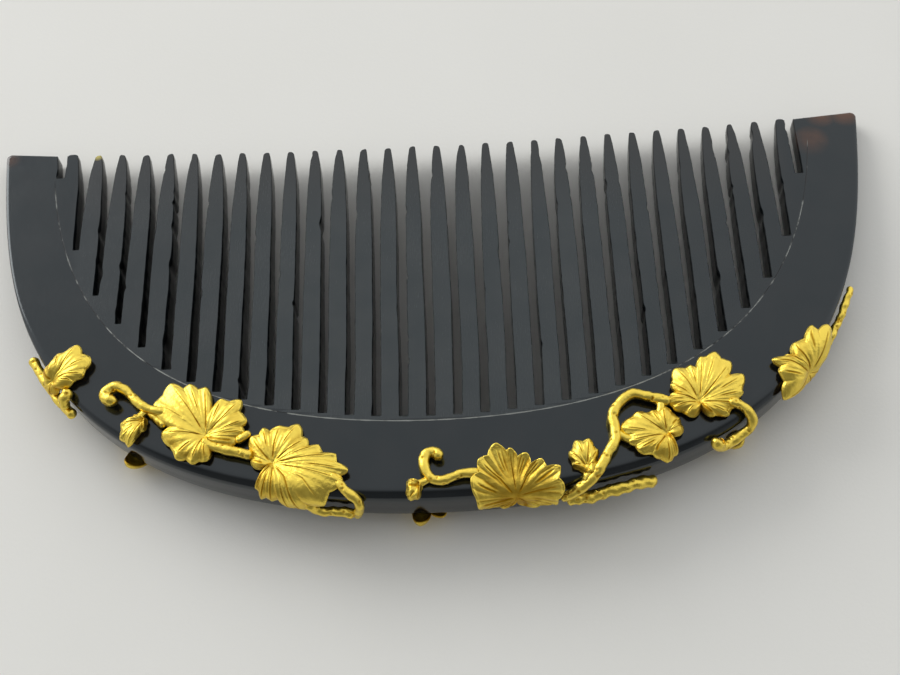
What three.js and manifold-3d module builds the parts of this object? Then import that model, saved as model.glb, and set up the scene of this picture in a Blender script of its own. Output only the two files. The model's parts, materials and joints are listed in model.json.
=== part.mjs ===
// Decorative hair comb: a half-moon comb plate with thirty sawn teeth, dressed on both
// faces and over the rim with chased gold leaves, stems and tendrils that are held to the
// plate by small blind pins.
//
// The comb is drawn in its own plate frame, in millimetres: x runs along the spine, y runs
// from the spine towards the tooth tips, and z stands out of the front face, which is the
// plane z = 0. At the end the plate frame is tilted into the attitude in which the comb
// lies on a table, on its tooth tips and the leaves of its back.
import * as THREE from 'three';
import { mergeVertices } from 'three/addons/utils/BufferGeometryUtils.js';
import Module from 'manifold-3d';

const wasm = await Module();
wasm.setup();

// ---- Driving dimensions ------------------------------------------------------------
const HALF_WIDTH = 55;
const SPINE_Y = -27.5;
const TIP_Y = 22.5;
const TIP_ARCH = 2.05;
const SPINE_THICKNESS = 6;
const TIP_THICKNESS = 2;
const EDGE_ROUND = 1.25;

const TOOTH_COUNT = 30;
const TOOTH_PITCH = 3.136;
const SLOT_HALF_WIDTHS = { root: 0.5, waist: 0.72, neck: 0.98, mouth: 1.25 };
const SLOT_HEIGHTS = { waist: 12, neck: 18, mouth: 20.6 };
const SLOT_OVERRUN = 2;
const SLOT_FLARE = 1.4;
const ROOT_CLEARANCE = 0.35;
const ROOT_SHOULDER = 0.4;
const CUTTER_DEPTH = 10;
const SHORT_SLOTS = { 0: 4.7, 1: 3.0, 2: 1.7, 3: 1.4, 4: 0.9 };
const SCRIBE_WIDTH = 0.4;
const SCRIBE_DEPTH = 0.15;

const GAP = 0.3;
const LEAF_THICKNESS = 0.5;
const LEAF_BEVEL_SHARE = 0.94;
const LEAF_OUTER_SPACING = 0.35;
const FRONT_RISE = 0.9;
const BACK_RISE = 1.2;
const BACK_REST_Y = -18.6;
const STEM_RADIUS = 0.52;
const PIN_RADIUS = 0.35;
const PIN_LENGTH = 2.4;

const DEGREE = Math.PI / 180;

// ---- Materials ---------------------------------------------------------------------
function shell() {
  return new THREE.MeshStandardMaterial({ color: 0x16151a, roughness: 0.18, metalness: 0 });
}

function gold() {
  return new THREE.MeshStandardMaterial({ color: 0xe0b03c, roughness: 0.3, metalness: 1 });
}

// ---- Solids ------------------------------------------------------------------------
// Leaves only position on a geometry, joins its shared vertices and drops the empty
// triangles that a lathe leaves on its axis.
function closed(geometry) {
  geometry.deleteAttribute('normal');
  geometry.deleteAttribute('uv');
  const merged = mergeVertices(geometry, 1e-4);
  const corners = merged.index.array;
  const kept = [];
  for (let i = 0; i < corners.length; i += 3) {
    const [a, b, c] = [corners[i], corners[i + 1], corners[i + 2]];
    if (a !== b && b !== c && c !== a) {
      kept.push(a, b, c);
    }
  }
  merged.setIndex(kept);
  return merged;
}

function toSolid(geometry) {
  const merged = closed(geometry);
  return new wasm.Manifold(new wasm.Mesh({
    numProp: 3,
    vertProperties: new Float32Array(merged.attributes.position.array),
    triVerts: new Uint32Array(merged.index.array),
  }));
}

function fromSolid(solid) {
  const mesh = solid.getMesh();
  const geometry = new THREE.BufferGeometry();
  geometry.setAttribute('position', new THREE.BufferAttribute(mesh.vertProperties, 3));
  geometry.setIndex(new THREE.BufferAttribute(mesh.triVerts, 1));
  return geometry;
}

// Moves every vertex of a geometry to the place that a function gives for it.
function reshape(geometry, move) {
  const place = geometry.attributes.position;
  for (let i = 0; i < place.count; i += 1) {
    const moved = move(place.getX(i), place.getY(i), place.getZ(i));
    place.setXYZ(i, moved.x, moved.y, moved.z);
  }
  return geometry;
}

// ---- The plate's lines -------------------------------------------------------------
// The right half of the rim, from the middle of the spine to the tip end of the guard.
const RIM_HALF = new THREE.CubicBezierCurve(
  new THREE.Vector2(0, SPINE_Y),
  new THREE.Vector2(48.5, SPINE_Y),
  new THREE.Vector2(52.5, 0),
  new THREE.Vector2(HALF_WIDTH, TIP_Y),
);

// The right half of the scribed line that the tooth roots are sawn to.
const SCRIBE_HALF = new THREE.CubicBezierCurve(
  new THREE.Vector2(0, -17.8),
  new THREE.Vector2(32, -17.8),
  new THREE.Vector2(45.6, -4),
  new THREE.Vector2(48.2, 20.5),
);

function bothHalves(half, steps) {
  const right = half.getPoints(steps);
  const left = right.slice(1).reverse();
  return [...left.map((p) => new THREE.Vector2(-p.x, p.y)), ...right];
}

const RIM = bothHalves(RIM_HALF, 60);

function thicknessAt(y) {
  const share = (y - SPINE_Y) / (TIP_Y - SPINE_Y);
  return SPINE_THICKNESS + (TIP_THICKNESS - SPINE_THICKNESS) * share;
}

// Maps a depth in an even plate of the spine's thickness to the wedge-shaped plate.
function taper(x, y, z) {
  if (z > 0) {
    return new THREE.Vector3(x, y, z);
  }
  if (z < -SPINE_THICKNESS) {
    return new THREE.Vector3(x, y, z + SPINE_THICKNESS - thicknessAt(y));
  }
  return new THREE.Vector3(x, y, z * thicknessAt(y) / SPINE_THICKNESS);
}

// The nearest point of the rim, its outward normal, and how far inside it (x, y) lies.
function nearestOnRim(x, y) {
  const point = new THREE.Vector2(x, y);
  let best = null;
  for (let i = 0; i + 1 < RIM.length; i += 1) {
    const along = RIM[i + 1].clone().sub(RIM[i]);
    const from = point.clone().sub(RIM[i]);
    const share = THREE.MathUtils.clamp(from.dot(along) / along.lengthSq(), 0, 1);
    const foot = RIM[i].clone().addScaledVector(along, share);
    const distance = foot.distanceTo(point);
    if (best === null || distance < best.distance) {
      const normal = new THREE.Vector2(along.y, -along.x).normalize();
      best = { foot, normal, distance };
    }
  }
  best.inside = best.foot.clone().sub(point).dot(best.normal);
  return best;
}

// Lays a point of a flat pattern on the plate: (x, y) is the place in the pattern and
// height is how far it stands off the surface. What reaches past the rim follows the
// rounded edge and then the wall. The back face takes its pattern mirrored through the
// plate's middle plane.
function drape(x, y, height, back) {
  const rim = nearestOnRim(x, y);
  const past = EDGE_ROUND - rim.inside;
  const quarter = EDGE_ROUND * Math.PI / 2;
  const wall = SPINE_THICKNESS - 2 * EDGE_ROUND;
  const spot = { x, y, z: height };
  if (past > 0) {
    const corner = rim.foot.clone().addScaledVector(rim.normal, -EDGE_ROUND);
    const radius = EDGE_ROUND + height;
    let out = radius;
    if (past < quarter) {
      out = radius * Math.sin(past / EDGE_ROUND);
      spot.z = radius * Math.cos(past / EDGE_ROUND) - EDGE_ROUND;
    } else if (past < quarter + wall) {
      spot.z = quarter - past - EDGE_ROUND;
    } else {
      const turn = (past - quarter - wall) / EDGE_ROUND;
      out = radius * Math.cos(turn);
      spot.z = EDGE_ROUND - SPINE_THICKNESS - radius * Math.sin(turn);
    }
    spot.x = corner.x + rim.normal.x * out;
    spot.y = corner.y + rim.normal.y * out;
  }
  if (back) {
    spot.z = -SPINE_THICKNESS - spot.z;
  }
  return taper(spot.x, spot.y, spot.z);
}

// ---- The comb plate ----------------------------------------------------------------
function plateBlank() {
  const outline = new THREE.Shape();
  outline.moveTo(-HALF_WIDTH, TIP_Y);
  outline.bezierCurveTo(-RIM_HALF.v2.x, RIM_HALF.v2.y, -RIM_HALF.v1.x, SPINE_Y, 0, SPINE_Y);
  outline.bezierCurveTo(RIM_HALF.v1.x, SPINE_Y, RIM_HALF.v2.x, RIM_HALF.v2.y, HALF_WIDTH, TIP_Y);
  outline.quadraticCurveTo(0, TIP_Y - 2 * TIP_ARCH, -HALF_WIDTH, TIP_Y);
  const blank = new THREE.ExtrudeGeometry(outline, {
    depth: SPINE_THICKNESS - 2 * EDGE_ROUND,
    curveSegments: 30,
    bevelThickness: EDGE_ROUND,
    bevelSize: EDGE_ROUND,
    bevelOffset: -EDGE_ROUND,
    bevelSegments: 3,
  });
  blank.translate(0, 0, EDGE_ROUND - SPINE_THICKNESS);
  return toSolid(reshape(blank, taper));
}

// Height of the scribed line above a place along the comb.
function scribeAt(x) {
  const points = SCRIBE_HALF.getPoints(80);
  const after = Math.max(1, points.findIndex((p) => p.x >= Math.abs(x)));
  const [a, b] = [points[after - 1], points[after]];
  return a.y + (b.y - a.y) * (Math.abs(x) - a.x) / (b.x - a.x);
}

// One saw slot, square at its root and opening towards the tips, where it is filed wide
// so that the teeth end in narrow points.
function slot(index) {
  const x = (index - TOOTH_COUNT / 2) * TOOTH_PITCH;
  const shortened = SHORT_SLOTS[index] ?? 0;
  const root = scribeAt(x) + ROOT_CLEARANCE + shortened;
  const last = index === 0 || index === TOOTH_COUNT;
  const wide = last ? SLOT_HALF_WIDTHS.root : SLOT_HALF_WIDTHS.mouth;
  const stations = [
    [root, SLOT_HALF_WIDTHS.root],
    [Math.max(root + ROOT_SHOULDER, SLOT_HEIGHTS.waist), last ? wide : SLOT_HALF_WIDTHS.waist],
    [SLOT_HEIGHTS.neck, last ? wide : SLOT_HALF_WIDTHS.neck],
    [SLOT_HEIGHTS.mouth, wide],
    [TIP_Y + SLOT_OVERRUN, wide * SLOT_FLARE],
  ].filter(([y], i) => i === 0 || y > root + ROOT_SHOULDER / 2);
  const right = stations.map(([y, half]) => new THREE.Vector2(x + half, y));
  const left = stations.map(([y, half]) => new THREE.Vector2(x - half, y)).reverse();
  const shape = new THREE.Shape([...right, ...left]);
  const cutter = new THREE.ExtrudeGeometry(shape, { depth: CUTTER_DEPTH, bevelEnabled: false });
  cutter.translate(0, 0, -(CUTTER_DEPTH + SPINE_THICKNESS) / 2);
  return toSolid(cutter);
}

// The scribed groove: a square bar on its edge, run along the line half sunk in the face.
function scribeGroove() {
  const line = bothHalves(SCRIBE_HALF, 16).map((p) => new THREE.Vector3(p.x, p.y, 0));
  const section = new THREE.Shape([
    new THREE.Vector2(0, SCRIBE_WIDTH / 2),
    new THREE.Vector2(-SCRIBE_DEPTH, 0),
    new THREE.Vector2(0, -SCRIBE_WIDTH / 2),
    new THREE.Vector2(SCRIBE_DEPTH, 0),
  ]);
  return toSolid(new THREE.ExtrudeGeometry(section, {
    steps: 48,
    extrudePath: new THREE.CatmullRomCurve3(line),
    bevelEnabled: false,
  }));
}

function pinHole({ at, back }) {
  const hole = new THREE.CylinderGeometry(PIN_RADIUS + GAP, PIN_RADIUS + GAP, 2 * PIN_LENGTH + 1, 10);
  hole.rotateX(Math.PI / 2);
  hole.translate(at[0], at[1], back ? -thicknessAt(at[1]) : 0);
  return toSolid(hole);
}

function combPlate() {
  let plate = plateBlank();
  for (let index = 0; index <= TOOTH_COUNT; index += 1) {
    plate = plate.subtract(slot(index));
  }
  plate = plate.subtract(scribeGroove());
  PINS.forEach((pin) => {
    plate = plate.subtract(pinHole(pin));
  });
  return fromSolid(plate);
}

// ---- Gold leaves -------------------------------------------------------------------
// A leaf's margin is a list of [angle, reach] seen from the point where its veins meet,
// lobe tips and notches by turns, in degrees and millimetres. Its cross-section is a
// closed lathe profile, whose rings are pushed out to the margin and laid on the plate.
function leaf({ hub, margin, rise = FRONT_RISE, cupped = false, rings = 3, back = false, turn = 0 }) {
  const top = [];
  const underside = [];
  for (let i = 0; i < rings; i += 1) {
    const share = LEAF_BEVEL_SHARE * Math.sin(Math.PI / 2 * i / (rings - 1 + LEAF_OUTER_SPACING));
    top.push(new THREE.Vector2(share, 1));
    underside.unshift(new THREE.Vector2(share, 0));
  }
  const profile = [...top, new THREE.Vector2(1, 0.5), ...underside];
  if (!back) {
    profile.reverse();
  }
  const disc = new THREE.LatheGeometry(profile, margin.length);
  const crown = (share) => (cupped ? rise * share * share : 4 * rise * share * (1 - share));
  return closed(reshape(disc, (x, layer, z) => {
    const share = Math.hypot(x, z);
    const step = Math.round(Math.atan2(x, z) / (2 * Math.PI) * margin.length);
    const [angle, reach] = margin[(step + margin.length) % margin.length];
    const bearing = (angle + turn) * DEGREE;
    return drape(
      hub[0] + reach * share * Math.cos(bearing),
      hub[1] + reach * share * Math.sin(bearing),
      GAP + layer * LEAF_THICKNESS + crown(share),
      back,
    );
  }));
}

const LEAVES = {
  leaf_far_left: {
    hub: [-44.1, -11.1],
    rings: 5,
    margin: [
      [2, 3.3], [12, 3.5], [30, 4.4], [47, 4.0], [61, 4.5], [74, 3.6], [88, 3.0], [105, 2.5],
      [125, 2.0], [150, 1.4], [190, 1.6], [220, 1.2], [250, 1.4], [300, 1.0], [338, 2.2], [349, 2.6],
    ],
  },
  leaf_left: {
    hub: [-25.8, -19.4],
    rings: 4,
    margin: [
      [5, 4.4], [13, 4.3], [21, 4.9], [38, 4.8], [48, 5.7], [59, 5.0], [70, 4.8], [81, 3.5],
      [94, 6.1], [102, 6.2], [109, 6.9], [116, 6.9], [124, 8.0], [135, 7.6], [145, 7.4], [164, 4.5],
      [175, 5.0], [195, 4.2], [214, 4.2], [232, 3.4], [246, 3.7], [259, 3.1], [274, 3.1], [305, 0.7],
      [349, 3.6], [357, 4.0],
    ],
  },
  leaf_mid_left: {
    hub: [-17.9, -23.1],
    rings: 6,
    margin: [
      [6, 7.1], [11, 5.8], [21, 5.5], [27, 4.4], [37, 4.7], [46, 4.6], [60, 5.4], [70, 4.8],
      [81, 4.6], [97, 4.1], [106, 4.5], [116, 4.1], [127, 4.2], [150, 3.0], [168, 2.5], [215, 0.6],
      [230, 2.8], [239, 2.9], [247, 3.4], [257, 3.2], [268, 3.5], [282, 3.6], [294, 5.4], [299, 5.3],
      [305, 6.1], [315, 5.7], [327, 7.1], [334, 7.3], [343, 8.2], [347, 8.0], [352, 8.5], [359, 7.3],
    ],
  },
  leaf_centre: {
    hub: [9.4, -27.2],
    rings: 6,
    cupped: true,
    margin: [
      [12, 5.2], [17, 4.9], [23, 5.3], [33, 4.1], [46, 4.2], [57, 3.1], [72, 4.0], [85, 3.5],
      [97, 4.4], [103, 4.3], [113, 5.4], [129, 4.8], [141, 5.1], [155, 4.4], [168, 5.0], [178, 4.6],
      [186, 4.3], [205, 2.8], [220, 2.1], [270, 0.5], [328, 2.9], [336, 3.7], [348, 4.6], [2, 4.5],
    ],
  },
  leaf_bud_right: {
    hub: [17.4, -24.9],
    margin: [
      [35, 1.2], [52, 1.6], [66, 2.4], [78, 2.8], [88, 3.2], [107, 2.5], [119, 2.4], [140, 1.8],
      [157, 1.8], [185, 0.9], [230, 0.4], [320, 0.4],
    ],
  },
  leaf_right_low: {
    hub: [26.6, -21.2],
    margin: [
      [27, 2.0], [40, 2.2], [50, 2.4], [72, 2.7], [92, 3.3], [107, 3.1], [117, 3.2], [128, 3.4],
      [141, 4.2], [153, 4.6], [170, 5.1], [181, 4.5], [191, 4.4], [200, 3.9], [209, 3.9], [222, 3.3],
      [235, 3.2], [250, 3.0], [268, 3.2], [282, 2.7], [292, 2.3], [330, 0.3],
    ],
  },
  leaf_right_high: {
    hub: [30.6, -17.4],
    margin: [
      [12, 5.1], [19, 5.5], [30, 6.1], [40, 5.0], [50, 6.2], [60, 6.2], [68, 6.5], [76, 5.9],
      [82, 5.6], [90, 4.4], [97, 4.6], [105, 4.5], [118, 4.8], [133, 4.0], [142, 3.7], [153, 2.8],
      [160, 3.2], [167, 3.5], [175, 3.8], [184, 3.3], [192, 3.0], [208, 2.3], [225, 2.1], [280, 0.6],
      [312, 2.3], [322, 2.9], [334, 3.5], [345, 3.7], [355, 4.2], [4, 4.5],
    ],
  },
  leaf_far_right: {
    hub: [43.5, -13.2],
    rings: 6,
    margin: [
      [5, 3.4], [25, 3.4], [40, 4.4], [52, 4.6], [63, 5.9], [70, 4.8], [77, 5.0], [90, 3.4],
      [113, 3.0], [141, 2.1], [149, 2.7], [158, 3.2], [169, 4.0], [182, 3.2], [195, 3.5], [208, 3.6],
      [223, 4.6], [234, 3.9], [245, 3.2], [275, 2.2], [310, 2.6], [340, 2.7],
    ],
  },
  bud_left: {
    hub: [-33.2, -17.2],
    rings: 4,
    margin: [
      [20, 0.4], [110, 0.5], [150, 1.3], [170, 1.8], [190, 2.5], [203, 2.5], [216, 2.7], [230, 2.6],
      [243, 2.7], [255, 2.1], [268, 1.3], [310, 0.5],
    ],
  },
  bud_centre: {
    hub: [-1.4, -26.3],
    rings: 4,
    margin: [
      [60, 0.3], [132, 1.0], [150, 1.2], [165, 1.4], [180, 1.3], [200, 1.5], [212, 1.4], [228, 1.3],
      [255, 0.9], [300, 0.4],
    ],
  },
};

// The back is dressed with five-lobed leaves of one pattern, turned and sized to suit.
const BACK_MARGIN = [
  [10, 4.4], [32, 3.6], [50, 4.8], [71, 4.1], [90, 5.4], [109, 4.1], [130, 4.8], [148, 3.6],
  [170, 4.4], [195, 3.3], [220, 3.7], [245, 2.9], [270, 0.6], [295, 2.9], [320, 3.7], [345, 3.3],
];
const BACK_LEAVES = [
  { name: 'back_leaf_left', hub: [-33, -14.8], turn: 150, size: 1.05 },
  { name: 'back_leaf_mid_left', hub: [-17.2, -20.1], turn: 30, size: 0.9 },
  { name: 'back_leaf_centre', hub: [-1, -23.2], turn: 170, size: 0.85 },
  { name: 'back_leaf_mid_right', hub: [17, -20.1], turn: -20, size: 0.9 },
  { name: 'back_leaf_right', hub: [33, -14.8], turn: 205, size: 1.05 },
];
BACK_LEAVES.forEach(({ name, hub, turn, size }) => {
  LEAVES[name] = {
    hub,
    turn,
    rings: 5,
    rise: BACK_RISE,
    back: true,
    margin: BACK_MARGIN.map(([angle, reach]) => [angle, reach * size]),
  };
});

// ---- Gold stems and tendrils -------------------------------------------------------
// A stem is a round bar run through the points of its route and thinned at its two ends.
function stem({ route, radius = STEM_RADIUS, head = radius, back = false, steps = 14 }) {
  const lifted = route.map(([x, y]) => drape(x, y, GAP + Math.max(radius, head), back));
  const line = new THREE.CatmullRomCurve3(lifted, false, 'centripetal');
  const frames = line.computeFrenetFrames(steps, false);
  const bar = new THREE.CylinderGeometry(1, 1, 1, 6, steps);
  return closed(reshape(bar, (x, y, z) => {
    const step = Math.round((y + 0.5) * steps);
    const share = step / steps;
    const thin = step === 0 || step === steps ? 0.6 : 1;
    const thick = (head + (radius - head) * Math.min(1, share * 2)) * thin;
    return line.getPointAt(share)
      .addScaledVector(frames.normals[step], x * thick)
      .addScaledVector(frames.binormals[step], -z * thick);
  }));
}

const STEMS = {
  edge_stem_left: {
    route: [[-48.6, -9.6], [-47.6, -11.2], [-46.4, -12.8], [-45.2, -14.4], [-43.9, -15.8], [-42.4, -16.6]],
  },
  tendril_left: {
    route: [
      [-36.3, -14.6], [-36.9, -15.0], [-37.5, -14.6], [-37.7, -13.8], [-37.1, -13.2], [-36.1, -13.1],
      [-35.1, -13.6], [-34.4, -14.5], [-33.7, -15.5], [-32.6, -16.1],
    ],
    head: 0.72,
    radius: 0.55,
    steps: 20,
  },
  stem_left: {
    route: [[-24.5, -20.8], [-23.6, -21.1], [-22.6, -21.5], [-21.5, -21.9]],
    steps: 6,
  },
  stem_mid_left: {
    route: [[-9.8, -26.5], [-9.1, -26.7], [-8.3, -27.0], [-7.7, -27.6], [-7.9, -28.8], [-8.3, -30.2]],
  },
  edge_bar_left: {
    route: [[-13.2, -28.0], [-12.4, -28.6], [-11.3, -28.9], [-9.5, -29.0]],
    radius: 0.45,
    steps: 8,
  },
  tendril_centre: {
    route: [
      [0.6, -23.4], [0.85, -22.9], [0.4, -22.45], [-0.3, -22.5], [-0.75, -23.1], [-0.8, -24.0],
      [-0.6, -25.0], [0.1, -25.7], [1.1, -25.9], [2.2, -25.7], [3.2, -25.2], [4.0, -25.1],
    ],
    steps: 22,
  },
  main_stem: {
    route: [
      [15.6, -27.1], [16.5, -26.8], [17.6, -26.3], [18.9, -25.5], [19.8, -24.4], [20.3, -23.1],
      [20.6, -21.7], [20.5, -20.1], [20.7, -18.5], [21.6, -17.3], [23.4, -16.4], [24.7, -16.6],
      [25.6, -16.9],
    ],
    radius: 0.55,
    steps: 26,
  },
  edge_branch_right: {
    route: [[16.9, -28.3], [18.5, -28.1], [19.9, -27.7], [21.3, -27.2], [23.0, -26.7], [25.0, -26.3]],
  },
  curl_stem_right: {
    route: [
      [35.6, -18.3], [36.1, -18.7], [35.9, -19.5], [35.0, -20.2], [33.9, -20.9], [32.8, -21.5],
      [31.9, -21.6], [31.7, -21.1], [32.2, -20.8],
    ],
    radius: 0.48,
    steps: 18,
  },
  tendril_far_right: {
    route: [
      [48.4, -9.4], [48.9, -8.0], [49.5, -6.6], [50.0, -5.2], [50.1, -4.2], [50.2, -3.4], [51.0, -2.8],
    ],
    radius: 0.42,
  },
};

// The back stems run between the back leaves, and the back tendrils curl at its two ends.
const TENDRIL_ROUTE = [
  [0.6, 0.6], [1.1, 1.0], [1.6, 0.6], [1.6, -0.1], [1.0, -0.5], [0.1, -0.4], [-1.0, 0.4], [-2.4, 0.7],
];
[['left', -1], ['right', 1]].forEach(([side, sign]) => {
  STEMS[`back_stem_${side}`] = {
    route: [[sign * 27.3, -18.0], [sign * 25.6, -19.0], [sign * 24.0, -19.8], [sign * 22.4, -20.2]],
    back: true,
    steps: 8,
  };
  STEMS[`back_stem_inner_${side}`] = {
    route: [[sign * 11.8, -21.6], [sign * 9.8, -22.8], [sign * 7.6, -23.2], [sign * 5.6, -23.0]],
    back: true,
    steps: 8,
  };
  STEMS[`back_tendril_${side}`] = {
    route: TENDRIL_ROUTE.map(([x, y]) => [sign * (41.3 + x), y - 8.8]),
    back: true,
    steps: 18,
  };
});

// ---- Granules ----------------------------------------------------------------------
// A cluster of fused granules, joined into one solid.
function granules({ places, radius, back = false }) {
  const grains = places.map(([x, y]) => {
    const grain = new THREE.SphereGeometry(radius, 8, 6);
    const middle = drape(x, y, GAP + radius, back);
    grain.translate(middle.x, middle.y, middle.z);
    return toSolid(grain);
  });
  return fromSolid(grains.reduce((joined, grain) => joined.add(grain)));
}

const GRANULES = {
  granules_left: { places: [[-42.3, -13.0], [-42.7, -13.5], [-43.0, -13.9]], radius: 0.6 },
};

// ---- Pins --------------------------------------------------------------------------
// Each pin stands in a blind hole under the leaf that it holds.
const PINS = [
  { name: 'pin_far_left', at: [-42.2, -10.3] },
  { name: 'pin_left', at: [-26.4, -17.6] },
  { name: 'pin_mid_left', at: [-16.2, -22.0] },
  { name: 'pin_centre', at: [8.6, -24.6] },
  { name: 'pin_bud_right', at: [17.3, -23.6] },
  { name: 'pin_right_low', at: [24.6, -21.2] },
  { name: 'pin_right_high', at: [31.6, -15.0] },
  { name: 'pin_far_right', at: [43.3, -10.9] },
  { name: 'back_pin_left', at: [-33, -14.8], back: true },
  { name: 'back_pin_mid_left', at: [-18.6, -19.2], back: true },
  { name: 'back_pin_centre', at: [-1, -22.6], back: true },
  { name: 'back_pin_mid_right', at: [18.4, -19.2], back: true },
  { name: 'back_pin_right', at: [33, -14.8], back: true },
];

function pinBody({ at, back }) {
  const pin = new THREE.CylinderGeometry(PIN_RADIUS, PIN_RADIUS, PIN_LENGTH, 8);
  pin.rotateX(Math.PI / 2);
  const sunk = PIN_LENGTH / 2;
  pin.translate(at[0], at[1], back ? sunk - thicknessAt(at[1]) : -sunk);
  return closed(pin);
}

// ---- The assembly ------------------------------------------------------------------
const comb = new THREE.Group();

function place(name, geometry, material) {
  const mesh = new THREE.Mesh(geometry, material);
  mesh.name = name;
  comb.add(mesh);
}

place('comb_plate', combPlate(), shell());
Object.entries(LEAVES).forEach(([name, spec]) => place(name, leaf(spec), gold()));
Object.entries(STEMS).forEach(([name, spec]) => place(name, stem(spec), gold()));
Object.entries(GRANULES).forEach(([name, spec]) => place(name, granules(spec), gold()));
PINS.forEach((pin) => place(pin.name, pinBody(pin), gold()));

// The comb lies on its tooth tips and on the crowns of its back leaves.
const backRelief = GAP + LEAF_THICKNESS + BACK_RISE;
const backLie = Math.atan(backRelief / (TIP_Y - EDGE_ROUND - BACK_REST_Y));
const wedge = Math.atan((SPINE_THICKNESS - TIP_THICKNESS) / (TIP_Y - SPINE_Y));
comb.rotation.x = -(backLie + wedge);

const object = new THREE.Group();
object.add(comb);
object.updateMatrixWorld(true);
const box = new THREE.Box3().setFromObject(object, true);
comb.position.set(-(box.min.x + box.max.x) / 2, -(box.min.y + box.max.y) / 2, -box.min.z);

export default object;
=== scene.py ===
"""Looks of the decorative hair comb: a polished dark comb plate with sawn teeth, dressed with
chased gold leaves, stems and tendrils, lying on a pale table.

Shapes are worked out in the comb's plate frame, in millimetres: x runs along the spine, y from
the spine to the tooth tips, and z stands out of the front face, which is the plane z = 0. The
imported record's front_face mount says where that face lies in the row frame.
"""
import json
import math

import bpy
import numpy as np
from mathutils import Matrix, Vector
from mathutils.geometry import tessellate_polygon


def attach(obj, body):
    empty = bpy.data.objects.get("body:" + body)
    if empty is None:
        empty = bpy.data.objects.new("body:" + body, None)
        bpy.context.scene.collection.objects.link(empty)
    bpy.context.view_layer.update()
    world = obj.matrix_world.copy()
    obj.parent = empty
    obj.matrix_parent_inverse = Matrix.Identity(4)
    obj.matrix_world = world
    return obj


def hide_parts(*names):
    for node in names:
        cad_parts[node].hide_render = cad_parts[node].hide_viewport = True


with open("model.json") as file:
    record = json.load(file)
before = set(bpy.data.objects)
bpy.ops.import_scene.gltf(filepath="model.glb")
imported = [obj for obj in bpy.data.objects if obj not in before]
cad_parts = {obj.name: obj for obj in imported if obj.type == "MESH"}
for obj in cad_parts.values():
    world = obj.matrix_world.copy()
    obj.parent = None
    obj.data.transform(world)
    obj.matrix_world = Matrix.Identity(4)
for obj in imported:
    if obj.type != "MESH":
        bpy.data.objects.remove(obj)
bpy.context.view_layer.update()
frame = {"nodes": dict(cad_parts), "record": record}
MM = 0.001

# ---- The comb's dimensions, in millimetres --------------------------------------------------
HALF_WIDTH = 55.0
SPINE_Y = -27.5
TIP_Y = 22.5
TIP_ARCH = 2.05
SPINE_THICKNESS = 6.0
TIP_THICKNESS = 2.0
EDGE_ROUND = 1.25
TOOTH_COUNT = 30
TOOTH_PITCH = 3.136
ROOT_CLEARANCE = 0.35
SHORT_SLOTS = {0: 4.7, 1: 3.0, 2: 1.7, 3: 1.4, 4: 0.9}
GAP = 0.3
LEAF_THICKNESS = 0.5
FRONT_RISE = 0.9
BACK_RISE = 1.2
STEM_RADIUS = 0.52

# ---- From the plate frame to the row frame --------------------------------------------------
FACE_MOUNT = next(m for m in frame["record"]["mounts"] if m["name"] == "front_face")
FACE_MOUNT_AT = (49.9, 12.9, 0)
LIE = -math.atan2(FACE_MOUNT["axis"][1], FACE_MOUNT["axis"][2])
TURN = np.array([
    [1, 0, 0],
    [0, math.cos(LIE), -math.sin(LIE)],
    [0, math.sin(LIE), math.cos(LIE)],
])
ORIGIN = np.array(FACE_MOUNT["pos_m"]) - TURN @ np.array(FACE_MOUNT_AT) * MM


def to_row(points):
    """Points of the plate frame, in millimetres, as points of the row frame, in metres."""
    return np.asarray(points, float) @ TURN.T * MM + ORIGIN


# ---- Camera, first, at the photograph's viewing angle ---------------------------------------
# Its place and angles are in the plate frame, in millimetres and degrees.
CAMERA_AT = (7.445, -79.547, 136.047)
CAMERA_RISE = 62.02
CAMERA_ROLL = -5.77
CAMERA_YAW = -4.01
LENS_MM = 52.0


def turn_about_z(degrees):
    c, s = math.cos(math.radians(degrees)), math.sin(math.radians(degrees))
    return np.array([[c, -s, 0], [s, c, 0], [0, 0, 1]])


def make_camera():
    rise = math.radians(CAMERA_RISE)
    level = np.array([
        [1, 0, 0],
        [0, -math.sin(rise), -math.cos(rise)],
        [0, math.cos(rise), -math.sin(rise)],
    ])
    right, down, ahead = turn_about_z(CAMERA_ROLL) @ level @ turn_about_z(CAMERA_YAW)
    data = bpy.data.cameras.new("camera")
    data.lens = LENS_MM
    data.sensor_width = 36.0
    data.clip_start = 0.01
    camera = bpy.data.objects.new("camera", data)
    bpy.context.scene.collection.objects.link(camera)
    axes = TURN @ np.stack([right, -down, -ahead], axis=1)
    placed = Matrix.Translation(to_row([CAMERA_AT])[0]) @ Matrix(axes.tolist()).to_4x4()
    camera.matrix_world = placed
    bpy.context.scene.camera = camera


make_camera()


# ---- Curves and the draping of flat patterns ------------------------------------------------
def bezier(points, steps):
    """A cubic curve through its first and last point, pulled toward the two between."""
    t = np.linspace(0, 1, steps + 1)[:, None]
    p = np.array(points, float)
    return (1 - t) ** 3 * p[0] + 3 * (1 - t) ** 2 * t * p[1] + 3 * (1 - t) * t * t * p[2] + t ** 3 * p[3]


def both_halves(right):
    """A line that starts on the comb's middle, with its mirror image before it."""
    return np.vstack([right[::-1] * [-1, 1], right[1:]])


RIM_HALF = [(0, SPINE_Y), (48.5, SPINE_Y), (52.5, 0), (HALF_WIDTH, TIP_Y)]
SCRIBE_HALF = [(0, -17.8), (32, -17.8), (45.6, -4), (48.2, 20.5)]
RIM_STEPS = 160
SCRIBE_STEPS = 200
OUTLINE_STEPS = 110
RIM = both_halves(bezier(RIM_HALF, RIM_STEPS))


def thickness_at(y):
    return SPINE_THICKNESS + (TIP_THICKNESS - SPINE_THICKNESS) * (y - SPINE_Y) / (TIP_Y - SPINE_Y)


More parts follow.
